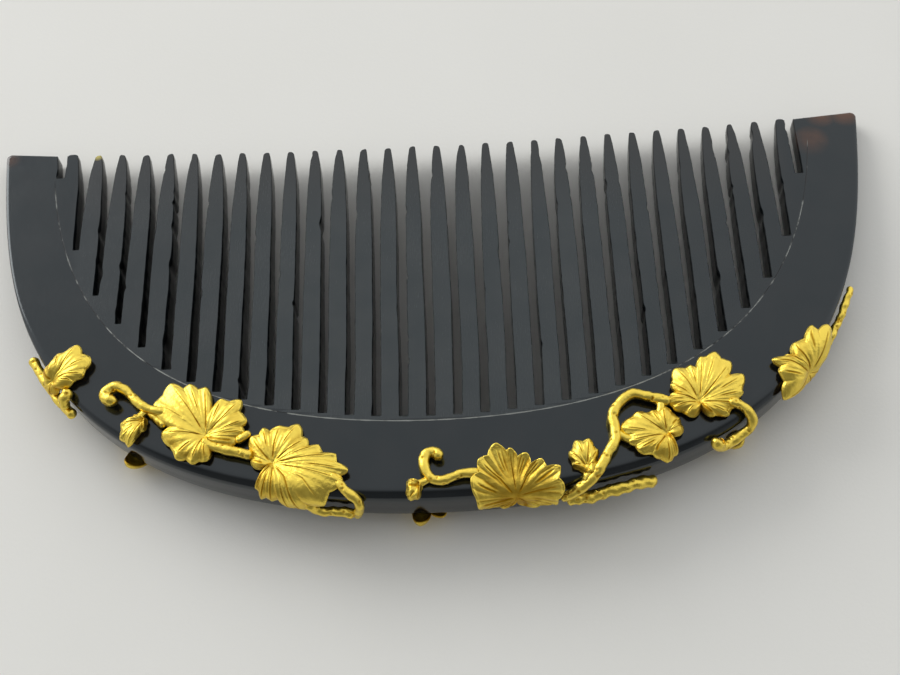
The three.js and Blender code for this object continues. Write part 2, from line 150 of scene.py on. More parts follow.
def taper(points):
    """Points on an even plate of the spine's thickness, moved to the wedge-shaped plate."""
    x, y, z = points.T
    local = thickness_at(y)
    squeezed = z * local / SPINE_THICKNESS
    behind = z + SPINE_THICKNESS - local
    z = np.where(z > 0, z, np.where(z < -SPINE_THICKNESS, behind, squeezed))
    return np.stack([x, y, z], axis=1)


def nearest_on_rim(xy):
    """For each point: the nearest rim point, the rim's outward normal there, and how far inside it is."""
    start, along = RIM[:-1], np.diff(RIM, axis=0)
    share = np.clip(((xy[:, None] - start) * along).sum(2) / (along ** 2).sum(1), 0, 1)
    foot = start + share[..., None] * along
    best = np.linalg.norm(foot - xy[:, None], axis=2).argmin(1)
    foot = foot[np.arange(len(xy)), best]
    tangent = along[best] / np.linalg.norm(along[best], axis=1)[:, None]
    normal = np.stack([tangent[:, 1], -tangent[:, 0]], axis=1)
    return foot, normal, ((foot - xy) * normal).sum(1)


def drape(xy, height, back=False):
    """Lays a flat pattern on the plate. What reaches past the rim follows the rounded edge and the wall."""
    xy = np.asarray(xy, float)
    height = np.broadcast_to(np.asarray(height, float), len(xy))
    foot, normal, inside = nearest_on_rim(xy)
    past = EDGE_ROUND - inside
    quarter = EDGE_ROUND * math.pi / 2
    wall = SPINE_THICKNESS - 2 * EDGE_ROUND
    radius = EDGE_ROUND + height
    first = np.clip(past, 0, quarter) / EDGE_ROUND
    second = np.clip(past - quarter - wall, 0, quarter) / EDGE_ROUND
    out = np.where(past < quarter, radius * np.sin(first), radius * np.cos(second))
    drop = np.where(
        past < quarter,
        radius * np.cos(first) - EDGE_ROUND,
        -EDGE_ROUND - np.clip(past - quarter, 0, wall) - radius * np.sin(second),
    )
    folded = foot + normal * (out - EDGE_ROUND)[:, None]
    flat = (past <= 0)[:, None]
    place = np.where(flat, xy, folded)
    z = np.where(past <= 0, height, drop)
    if back:
        z = -SPINE_THICKNESS - z
    return taper(np.column_stack([place, z]))


def line_through(points, step):
    """A smooth open line through the points, in even steps."""
    p = np.asarray(points, float)
    p = np.vstack([2 * p[0] - p[1], p, 2 * p[-1] - p[-2]])
    t = np.linspace(0, 1, 24, endpoint=False)[:, None]
    parts = []
    for a, b, c, d in zip(p[:-3], p[1:-2], p[2:-1], p[3:]):
        square = 2 * a - 5 * b + 4 * c - d
        cube = 3 * b - a - 3 * c + d
        parts.append(0.5 * (2 * b + (c - a) * t + square * t ** 2 + cube * t ** 3))
    fine = np.vstack([*parts, p[-2:-1]])
    along = np.concatenate([[0], np.cumsum(np.linalg.norm(np.diff(fine, axis=0), axis=1))])
    at = np.linspace(0, along[-1], max(4, round(along[-1] / step)) + 1)
    return np.stack([np.interp(at, along, fine[:, k]) for k in range(fine.shape[1])], axis=1)


# ---- Meshes ---------------------------------------------------------------------------------
def make_piece(name, points, faces, material, replaced=(), painted_light=None):
    """A mesh piece in the row frame, riding on the comb's one body."""
    mesh = bpy.data.meshes.new(name)
    mesh.from_pydata(to_row(points).tolist(), [], faces)
    mesh.polygons.foreach_set("use_smooth", [True] * len(faces))
    # The gold's painted light per vertex: 0 is painted shade, 1 is lit gold.
    if painted_light is not None:
        stored = mesh.attributes.new("painted_light", "FLOAT", "POINT")
        stored.data.foreach_set("value", np.asarray(painted_light, np.float32))
    mesh.materials.append(material)
    piece = bpy.data.objects.new(name, mesh)
    bpy.context.scene.collection.objects.link(piece)
    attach(piece, "root")
    if replaced:
        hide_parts(*replaced)
    return piece


def grid_faces(rows, columns):
    """Quads of a grid that closes on itself along its columns. Vertex (r, c) is r * columns + c."""
    r, c = np.meshgrid(np.arange(rows - 1), np.arange(columns), indexing="ij")
    a, b = r * columns + c, r * columns + (c + 1) % columns
    return np.stack([a, b, b + columns, a + columns], axis=2).reshape(-1, 4).tolist()


# ---- Materials ------------------------------------------------------------------------------
BLACK_SHELL = ((0.003, 0.0045, 0.0055, 1), (0.007, 0.0075, 0.008, 1))
WORN_SHELL = ((0.015, 0.0185, 0.0195, 1), (0.024, 0.0265, 0.0265, 1))
TIP_SHELL = (0.017, 0.0145, 0.0125, 1)
BROWN_SHELL = (0.1, 0.036, 0.012, 1)
CHIPPED_SHELL = (0.5, 0.42, 0.1, 1)
BARE_GROOVE = (0.02, 0.021, 0.022, 1)
DUST = (0.31, 0.32, 0.3, 1)
# The gold's painted-shade colour for hollows, undersides, hubs and bark pits, then the gold's own colour
# where it is painted lit.
PAINTED_SHADE_GOLD = ((0.34, 0.17, 0.006, 1), (0.52, 0.29, 0.014, 1))
PROUD_GOLD = (0.86, 0.64, 0.1, 1)
PAPER = ((0.8, 0.79, 0.745, 1), (0.84, 0.83, 0.79, 1))
# Brown spots of the plate, at the guards' corners, and the chip of one tooth: (place, radius).
BROWN_SPOTS = (
    ((53.6, 23.1, 0), 2.4),
    ((50.4, 22.9, 0), 2.2),
    ((48.7, 18.8, 0), 2.4),
    ((-54.7, 21.6, 0), 1.9),
)
CHIP_SPOT = ((-42.9, 21.3, -0.2), 0.9)


class Nodes:
    """A material's node tree, with a short way to add and link nodes."""

    def __init__(self, name):
        self.material = bpy.data.materials.new(name)
        self.material.use_nodes = True
        self.tree = self.material.node_tree
        self.shader = self.tree.nodes["Principled BSDF"]

    def add(self, kind, links=None, **values):
        node = self.tree.nodes.new(kind)
        for key, value in values.items():
            setattr(node, key, value)
        for socket, source in (links or {}).items():
            self.put(node.inputs[socket], source)
        return node

    def put(self, socket, source):
        if isinstance(source, bpy.types.NodeSocket):
            self.tree.links.new(source, socket)
        else:
            socket.default_value = source

    def noise(self, vector, scale, detail=2.0, roughness=0.5):
        return self.add("ShaderNodeTexNoise", {
            "Vector": vector, "Scale": scale, "Detail": detail, "Roughness": roughness,
        }).outputs["Fac"]

    def between(self, value, low, high, out_low=0.0, out_high=1.0):
        return self.add("ShaderNodeMapRange", {
            "Value": value, "From Min": low, "From Max": high, "To Min": out_low, "To Max": out_high,
        }).outputs["Result"]

    def mix(self, factor, a, b):
        node = self.add("ShaderNodeMix", data_type="RGBA")
        self.put(node.inputs[0], factor)
        self.put(node.inputs[6], a)
        self.put(node.inputs[7], b)
        return node.outputs[2]

    def maths(self, operation, a, b):
        node = self.add("ShaderNodeMath", operation=operation)
        self.put(node.inputs[0], a)
        self.put(node.inputs[1], b)
        return node.outputs[0]

    def near(self, vector, centre, radius):
        """1 close to a point of the plate frame, fading to 0 at the radius, in millimetres."""
        middle = tuple(to_row([centre])[0])
        apart = self.add("ShaderNodeVectorMath", {0: vector, 1: middle}, operation="DISTANCE")
        return self.between(apart.outputs["Value"], radius * MM, 0.3 * radius * MM)

    def bump(self, height, distance, strength=1.0, normal=None):
        links = {"Height": height, "Distance": distance, "Strength": strength}
        if normal is not None:
            links["Normal"] = normal
        return self.add("ShaderNodeBump", links).outputs["Normal"]


def shell_material():
    """Near-black polished shell, brown where it is thin. "zone" is 1 on tooth faces, 2 on sawn walls."""
    n = Nodes("polished_shell")
    place = n.add("ShaderNodeTexCoord").outputs["Object"]
    parts = n.add("ShaderNodeSeparateXYZ", {"Vector": place})
    zone = n.add("ShaderNodeAttribute", attribute_name="zone").outputs["Fac"]
    on_wall = n.between(zone, 1.4, 1.6)
    from_middle = n.maths("ABSOLUTE", parts.outputs["X"], 0.0)
    on_tooth = n.maths("SUBTRACT", n.between(zone, 0.4, 0.6), on_wall)
    on_tooth = n.maths("MULTIPLY", on_tooth, n.between(from_middle, 0.0455, 0.0435))
    middle = n.between(from_middle, 0.044, 0.018)
    wear_and_painted_light = n.maths("MULTIPLY", on_tooth, middle)
    mottle = n.noise(place, 210.0, 3.0)
    black = n.mix(n.between(mottle, 0.35, 0.7), *BLACK_SHELL)
    ends = n.maths("MULTIPLY", on_tooth, n.between(parts.outputs["Y"], 0.012, 0.024))
    filed = n.mix(n.between(mottle, 0.3, 0.7), *WORN_SHELL)
    body = n.mix(wear_and_painted_light, black, filed)
    body = n.mix(ends, body, TIP_SHELL)
    brown = n.near(place, *BROWN_SPOTS[0])
    for spot in BROWN_SPOTS[1:]:
        brown = n.maths("MAXIMUM", brown, n.near(place, *spot))
    brown = n.maths("MULTIPLY", brown, n.between(mottle, 0.35, 0.6, 0.35, 1.0))
    body = n.mix(brown, body, BROWN_SHELL)
    chip = n.near(place, *CHIP_SPOT)
    n.put(n.shader.inputs["Base Color"], n.mix(chip, body, CHIPPED_SHELL))
    stretched = n.add("ShaderNodeMapping", {"Vector": place, "Scale": (9.0, 1.0, 1.0)}).outputs["Vector"]
    scratches = n.noise(stretched, 900.0, 5.0, 0.65)
    smears = n.noise(place, 90.0, 4.0)
    scuffed = n.between(scratches, 0.45, 0.8, 0.0, 0.08)
    gloss = n.maths("ADD", scuffed, n.between(smears, 0.35, 0.7, 0.1, 0.17))
    n.put(n.shader.inputs["Roughness"], n.maths("ADD", gloss, n.maths("MULTIPLY", on_tooth, 0.1)))
    # The sawn walls reflect far less, a painted shade that darkens them as the shade inside the slots would.
    n.put(n.shader.inputs["Specular IOR Level"], n.between(on_wall, 0.0, 1.0, 0.5, 0.07))
    n.shader.inputs["IOR"].default_value = 1.55
    n.shader.inputs["Specular Tint"].default_value = (0.88, 0.96, 1.0, 1)
    waves = n.bump(n.noise(place, 60.0, 1.0), 0.0003, 0.2)
    n.put(n.shader.inputs["Normal"], n.bump(scratches, 0.00002, 0.25, waves))
    return n.material


def groove_material():
    """Pale dust in the scribed groove, worn away in places and mostly gone toward its two ends."""
    n = Nodes("scribed_groove")
    place = n.add("ShaderNodeTexCoord").outputs["Object"]
    parts = n.add("ShaderNodeSeparateXYZ", {"Vector": place})
    edge = n.between(n.maths("ABSOLUTE", parts.outputs["X"], 0.0), 0.02, 0.046, 0.0, 0.16)
    dusty = n.maths("SUBTRACT", n.noise(place, 420.0, 4.0, 0.6), edge)
    patches = n.between(dusty, 0.36, 0.46)
    n.put(n.shader.inputs["Base Color"], n.mix(patches, BARE_GROOVE, DUST))
    n.put(n.shader.inputs["Roughness"], n.between(patches, 0.0, 1.0, 0.4, 0.8))
    n.shader.inputs["Specular IOR Level"].default_value = 0.3
    return n.material


def gold_material():
    """Chased yellow gold with painted light: painted shade in the hollows, undersides, hubs and bark pits,
    and painted highlights on ridges and rims. It is smoother where painted lit and rougher where painted
    shaded.
    """
    n = Nodes("chased_gold")
    place = n.add("ShaderNodeTexCoord").outputs["Object"]
    painted_light = n.add("ShaderNodeAttribute", attribute_name="painted_light").outputs["Fac"]
    clouds = n.noise(place, 700.0, 3.0)
    # Painted light from the mesh, from 0 for painted shade to 1 for lit gold, with a random tone from the
    # clouds.
    wear_and_painted_light = n.maths("ADD", painted_light, n.between(clouds, 0.3, 0.7, -0.14, 0.14))
    shade_colour = n.mix(clouds, *PAINTED_SHADE_GOLD)
    n.put(n.shader.inputs["Base Color"], n.mix(n.between(wear_and_painted_light, 0.05, 0.6), shade_colour, PROUD_GOLD))
    n.shader.inputs["Metallic"].default_value = 1.0
    n.put(n.shader.inputs["Roughness"], n.between(wear_and_painted_light, 0.1, 0.9, 0.5, 0.27))
    hammered = n.noise(place, 1500.0, 3.0, 0.6)
    grain = n.noise(place, 9000.0, 2.0)
    coarse = n.bump(hammered, 0.0002, 0.5)
    n.put(n.shader.inputs["Normal"], n.bump(grain, 0.00003, 0.3, coarse))
    return n.material


def table_material():
    """Matte off-white paper with a faint tooth."""
    n = Nodes("pale_table")
    place = n.add("ShaderNodeTexCoord").outputs["Object"]
    n.put(n.shader.inputs["Base Color"], n.mix(n.noise(place, 40.0, 4.0), *PAPER))
    n.shader.inputs["Roughness"].default_value = 0.9
    n.put(n.shader.inputs["Normal"], n.bump(n.noise(place, 2500.0, 3.0), 0.00005, 0.3))
    return n.material


SHELL = shell_material()
GROOVE = groove_material()
GOLD = gold_material()


# ---- The comb plate -------------------------------------------------------------------------
def scribe_at(x):
    """The height of the scribed line, at the tooth roots."""
    line = bezier(SCRIBE_HALF, SCRIBE_STEPS)
    return float(np.interp(abs(x), line[:, 0], line[:, 1]))


def tip_at(x):
    """The height of the tooth tips, which lie on a shallow arch."""
    return TIP_Y - TIP_ARCH * (1 - (x / HALF_WIDTH) ** 2)


PLATE_SEED = 7
# How far the tips lean to the left of their roots, and by how much of x the row of tips rises.
TOOTH_LEAN = -0.42
LAST_SLOT_LEAN = -0.7
LEAN_FROM_Y = -10.0
TIP_TILT = 0.0085
# The slots: half widths at the root and at the mouth, and how far down the mouth's flare reaches.
ROOT_HALF = 0.52
NARROW_ROOTS = {1: 0.34, 2: 0.34, 3: 0.36, 4: 0.44}
MOUTH_HALF = 1.2
FLARE_REACH = 5.0
END_SLOT_HALF = 0.5
END_SLOT_FLARE = 0.06
END_FLARE_REACH = 2.0
SLOT_CORNER_OUT = 0.55
SLOPE_STEP = 0.4
CORNER_CLEARANCE = 0.22
# The sawn walls: their ends, their points' spacing, their waviness, and the nicks that the saw left.
WALL_TOP = 0.3
END_WALL_TOP = 0.1
FOOT_CORNER = 0.07
FOOT_HEIGHT = 0.06
WALL_SPACING = 0.35
WALL_WOBBLE = 0.011
NICKS_PER_WALL = 1.6
NICKS_TOWARD_TIP = 1.6
NICK_REACH = (0.25, 0.8)
NICK_DEPTH = (0.05, 0.2)
# The teeth's blunt points, and how far from the tips and how deep the teeth are filed thin.
TIP_TURNS = (25, 60, 85, 95, 120, 155)
TIP_BLUNTNESS = 0.6
TIP_NARROWING = 0.96
TIP_HEIGHT = 0.38
TIP_UNEVENNESS = 0.06
TIP_SLANT = 0.07
FILED_LENGTH = 3.8
FILED_SHARE = 0.5
SAWN_ROUND = 0.05
# The guards: their rounded outer corners, and where the rim's rounding shrinks toward them.
CORNER_RADIUS = 0.7
CORNER_TURNS = (8, 24, 40, 56, 72, 88)
CORNER_ROUND = 0.4
GUARD_FROM_Y = -14.0
GUARD_BLEND = 16.0
# The scribed groove: where it ends on the left and on the right, and its section.
GROOVE_SHIFT = 0.25
GROOVE_ENDS_Y = (18.2, 19.8)
GROOVE_HALF_WIDTH = 0.05
GROOVE_END_HALF_WIDTH = 0.012
GROOVE_DEPTH = 0.1
# The rings of the plate's sides: the steps over each rounded edge, and the rings on the flat wall.
EDGE_STEPS = 6
WALL_SHARES = (0.33, 0.67)


def lean_share(y):
    """0 at the tooth roots' side, rising to 1 at the tips."""
    return np.clip((y - LEAN_FROM_Y) / (TIP_Y - LEAN_FROM_Y), 0, 1)


def slot_half_width(k, y, tip):
    """Half the width of saw slot k at height y: narrow at the root, filed wide at the tips."""
    if k in (0, TOOTH_COUNT):
        return END_SLOT_HALF + END_SLOT_FLARE * math.exp((y - tip) / END_FLARE_REACH)
    root = NARROW_ROOTS.get(k, ROOT_HALF)
    return root + (MOUTH_HALF - root) * math.exp((y - tip) / FLARE_REACH)


def slot_root(k, middle):
    """Where a slot ends: at the scribed line, with both of its corners clear of the groove."""
    root = scribe_at(middle) + ROOT_CLEARANCE + SHORT_SLOTS.get(k, 0)
    if k in (0, TOOTH_COUNT):
        return root
    corner = abs(middle) + SLOT_CORNER_OUT
    slope = (scribe_at(corner) - scribe_at(corner - SLOPE_STEP)) / SLOPE_STEP
    return max(root, scribe_at(corner) - GROOVE_SHIFT * math.hypot(1, slope) + CORNER_CLEARANCE)


def slot_wall(rng, k, side, middle, root, tip):
    """One wall of a slot, from the tip down to the root, with the nicks of the saw."""
    lean = LAST_SLOT_LEAN if k == TOOTH_COUNT else TOOTH_LEAN
    high = tip - (END_WALL_TOP if k in (0, TOOTH_COUNT) else WALL_TOP)
    low = root + FOOT_HEIGHT
    heights = np.linspace(high, low, max(6, int((high - low) / WALL_SPACING)))
    wobble = np.cumsum(rng.normal(0, WALL_WOBBLE, len(heights)))
    wobble -= np.linspace(wobble[0], wobble[-1], len(heights))
    for _ in range(rng.poisson(NICKS_PER_WALL)):
        at = high - (high - low) * rng.random() ** NICKS_TOWARD_TIP
        reach = rng.uniform(*NICK_REACH)
        wobble += rng.uniform(*NICK_DEPTH) * np.exp(-((heights - at) / reach) ** 2)
    wall = []
    for y, offset in zip(heights, wobble):
        half = slot_half_width(k, y, tip) + offset
        wall.append((middle + lean * lean_share(y) + side * half, y))
    return wall


def tooth_end(rng, right, left):
    """The blunt point of a tooth between two slot walls that end at right and left."""
    centre, half = (right[0] + left[0]) / 2, (right[0] - left[0]) / 2
    base = (right[1] + left[1]) / 2 + rng.normal(0, TIP_UNEVENNESS)
    slant = rng.normal(0, TIP_SLANT)
    end = []
    for turn in np.radians(TIP_TURNS):
        across = math.copysign(abs(math.cos(turn)) ** TIP_BLUNTNESS, math.cos(turn))
        height = TIP_HEIGHT * math.sin(turn) + slant * across
        end.append((centre + TIP_NARROWING * half * across, base + height))
    return end


def guard_corner(side):
    """The rounded outer corner of a guard, met smoothly by the rim."""
    rim_x = float(np.interp(TIP_Y - CORNER_RADIUS, *bezier(RIM_HALF, OUTLINE_STEPS).T[::-1]))
    corner = [
        (side * (rim_x - CORNER_RADIUS * (1 - math.cos(t))), TIP_Y - CORNER_RADIUS * (1 - math.sin(t)))
        for t in np.radians(CORNER_TURNS)
    ]
    return corner if side > 0 else corner[::-1]


def comb_outline(rng):
    """The plate's outline with its slots, counterclockwise. With each point go its edge rounding, 1 where
    it was sawn, and how much of the thickness is filed away there."""
    points, rounds, sawn, filed = [], [], [], []

    def extend(new, rounding, was_sawn=0.0, thinned=0.0):
        points.extend(new)
        rounds.extend(np.broadcast_to(rounding, len(new)))
        sawn.extend([was_sawn] * len(new))
        filed.extend(np.broadcast_to(thinned, len(new)))

    rim = both_halves(bezier(RIM_HALF, OUTLINE_STEPS))
    rim = rim[rim[:, 1] < TIP_Y - CORNER_RADIUS]
    along_guard = np.clip((rim[:, 1] - GUARD_FROM_Y) / GUARD_BLEND, 0, 1)
    eased = along_guard ** 2 * (3 - 2 * along_guard)
    extend(rim.tolist(), EDGE_ROUND - (EDGE_ROUND - CORNER_ROUND) * eased)
    extend(guard_corner(1), CORNER_ROUND)

    def thinning(wall, tip):
        near_tip = np.clip((np.array(wall)[:, 1] - tip + FILED_LENGTH) / FILED_LENGTH, 0, 1)
        return FILED_SHARE * near_tip ** 1.5

    left_wall = None
    for k in range(TOOTH_COUNT, -1, -1):
        middle = (k - TOOTH_COUNT / 2) * TOOTH_PITCH
        root, tip = slot_root(k, middle), tip_at(middle)
        right_wall = slot_wall(rng, k, 1, middle, root, tip)
        if left_wall is not None:
            extend(tooth_end(rng, left_wall[0], right_wall[0]), SAWN_ROUND, 1.0, FILED_SHARE)
        left_wall = slot_wall(rng, k, -1, middle, root, tip)
        extend(right_wall, SAWN_ROUND, 1.0, 0 if k == TOOTH_COUNT else thinning(right_wall, tip))
        feet = [(right_wall[-1][0] - FOOT_CORNER, root), (left_wall[-1][0] + FOOT_CORNER, root)]
        extend(feet, SAWN_ROUND, 1.0)
        extend(left_wall[::-1], SAWN_ROUND, 1.0, 0 if k == 0 else thinning(left_wall[::-1], tip))
    extend(guard_corner(-1), CORNER_ROUND)
    points = np.array(points)
    points[:, 1] += TIP_TILT * points[:, 0] * lean_share(points[:, 1])
    return points, np.array(rounds), np.array(sawn), np.array(filed)


def inward_normals(outline):
    """Unit directions into a counterclockwise outline, stretched a little at its corners."""
    ahead = np.roll(outline, -1, 0) - outline
    ahead /= np.linalg.norm(ahead, axis=1)[:, None]
    behind = np.roll(ahead, 1, 0)
    left = np.stack([-(ahead + behind)[:, 1], (ahead + behind)[:, 0]], axis=1)
    left /= np.maximum(np.linalg.norm(left, axis=1)[:, None], 1e-9)
    cosine = (left * np.stack([-ahead[:, 1], ahead[:, 0]], axis=1)).sum(1)
    return left / np.clip(cosine, 0.6, 1)[:, None]


def groove_lines():
    """The middle of the scribed groove, and half of its width as a vector at each place."""
    line = both_halves(bezier(SCRIBE_HALF, OUTLINE_STEPS))
    ahead = np.gradient(line, axis=0)
    ahead /= np.linalg.norm(ahead, axis=1)[:, None]
    across = np.stack([-ahead[:, 1], ahead[:, 0]], axis=1)
    line = line - GROOVE_SHIFT * across
    limit = np.where(line[:, 0] < 0, *GROOVE_ENDS_Y)
    kept = line[:, 1] < limit
    line, across = line[kept], across[kept]
    count = np.arange(len(line))
    pinch = np.minimum(1, np.minimum(count, count[::-1]) / 3)[:, None]
    wander = 1 + 0.35 * np.sin(1.7 * count)[:, None] * np.sin(0.53 * count)[:, None]
    return line, across * (GROOVE_END_HALF_WIDTH + GROOVE_HALF_WIDTH * pinch * wander)


def tooth_side(centres):
    """True for the points of the front face that lie inside the scribed line."""
    line = both_halves(bezier(SCRIBE_HALF, OUTLINE_STEPS))
    inside = centres[:, 1] > np.interp(centres[:, 0], line[:, 0], line[:, 1])
    return inside & (np.abs(centres[:, 0]) < TOOTH_COUNT / 2 * TOOTH_PITCH)


def facing(points, triangles, up):
    """The triangles, each turned so that it faces up, or down."""
    fixed = []
    for a, b, c in triangles:
        ab, ac = points[b] - points[a], points[c] - points[a]
        height = ab[0] * ac[1] - ab[1] * ac[0]
        fixed.append([a, b, c] if (height > 0) == up else [a, c, b])
    return fixed


def groove_walls(start, bottom, n):
    """Faces of the V-shaped groove, whose edges begin at vertex start, and its bottom line at bottom."""
    faces = []
    for i in range(n - 1):
        low_a, low_b = start + i, start + i + 1
        up_a, up_b = start + 2 * n - 1 - i, start + 2 * n - 2 - i
        mid_a, mid_b = bottom + i - 1, bottom + i
        if i == 0:
            faces += [[low_a, low_b, mid_b], [low_a, mid_b, up_b], [low_a, up_b, up_a]]
        elif i == n - 2:
            faces += [[low_a, low_b, mid_a], [mid_a, low_b, up_b], [mid_a, up_b, up_a]]
        else:
            faces += [[low_a, low_b, mid_b, mid_a], [mid_a, mid_b, up_b, up_a]]
    return faces


def plate_rings(outline, rounds, filed):
    """Rings that follow the outline from the front face, over both rounded edges, to the back face."""
    inward = inward_normals(outline)
    bends = np.radians(np.linspace(90, 0, EDGE_STEPS))
    insets = [1 - math.cos(b) for b in bends]
    depths = [-rounds * (1 - math.sin(b)) for b in bends]
    walls = [-rounds - (SPINE_THICKNESS - 2 * rounds) * share for share in WALL_SHARES]
    backs = [-SPINE_THICKNESS - depth for depth in depths[::-1]]
    rings = []
    for inset, depth in zip(insets + [0] * len(walls) + insets[::-1], depths + walls + backs):
        xy = outline + inward * (rounds * inset)[:, None]
        ring = taper(np.column_stack([xy, depth]))
        ring[:, 2] *= 1 - filed
        rings.append(ring)
    return rings


def mark_zones(mesh, sawn, ring_count, front_centres):
    """Stores each face's zone for the shell material. The side faces come first, then the front face's."""
    on_sides = (ring_count - 1) * len(sawn)
    zone = np.zeros(len(mesh.polygons), np.float32)
    both_sawn = np.minimum(sawn, np.roll(sawn, -1))
    zone[:on_sides] = 2 * np.tile(both_sawn, ring_count - 1)
    zone[on_sides:on_sides + len(front_centres)] = tooth_side(front_centres)
    mesh.attributes.new("zone", "FLOAT", "FACE").data.foreach_set("value", zone)


def comb_plate():
    """The plate: its sides, its two flat faces, and the scribed groove let into the front one."""
    outline, rounds, sawn, filed = comb_outline(np.random.default_rng(PLATE_SEED))
    rings = plate_rings(outline, rounds, filed)
    count = len(outline)
    side_faces = [f[::-1] for f in grid_faces(len(rings), count)]
    line, across = groove_lines()
    upper, lower = line + across, line - across
    groove = np.vstack([lower, upper[::-1]])
    hole = np.column_stack([groove, np.zeros(len(groove))])
    start = count * len(rings)
    bottom = start + len(groove)
    floor_of_groove = np.column_stack([line[1:-1], np.full(len(line) - 2, -GROOVE_DEPTH)])
    everything = np.vstack([*rings, hole, floor_of_groove])
    front = tessellate_polygon([[tuple(p) for p in rings[0]], [tuple(p) for p in hole[::-1]]])
    index = list(range(count)) + [start + i for i in range(len(groove))][::-1]
    front_faces = facing(everything, [[index[i] for i in triangle] for triangle in front], True)
    back = tessellate_polygon([[tuple(p) for p in rings[-1]]])
    last = count * (len(rings) - 1)
    back_faces = facing(everything, [[last + i for i in triangle] for triangle in back], False)
    faces = side_faces + front_faces + back_faces + groove_walls(start, bottom, len(line))
    piece = make_piece("comb", everything, faces, SHELL, ["comb_plate"])
    mesh = piece.data
    mesh.materials.append(GROOVE)
    mark_zones(mesh, sawn, len(rings), everything[np.array(front_faces)].mean(axis=1))
    on_sides, on_caps = len(side_faces), len(front_faces) + len(back_faces)
    for face in list(mesh.polygons)[on_sides:on_sides + on_caps]:
        face.use_smooth = False
    for face in list(mesh.polygons)[on_sides + on_caps:]:
        face.material_index = 1


comb_plate()

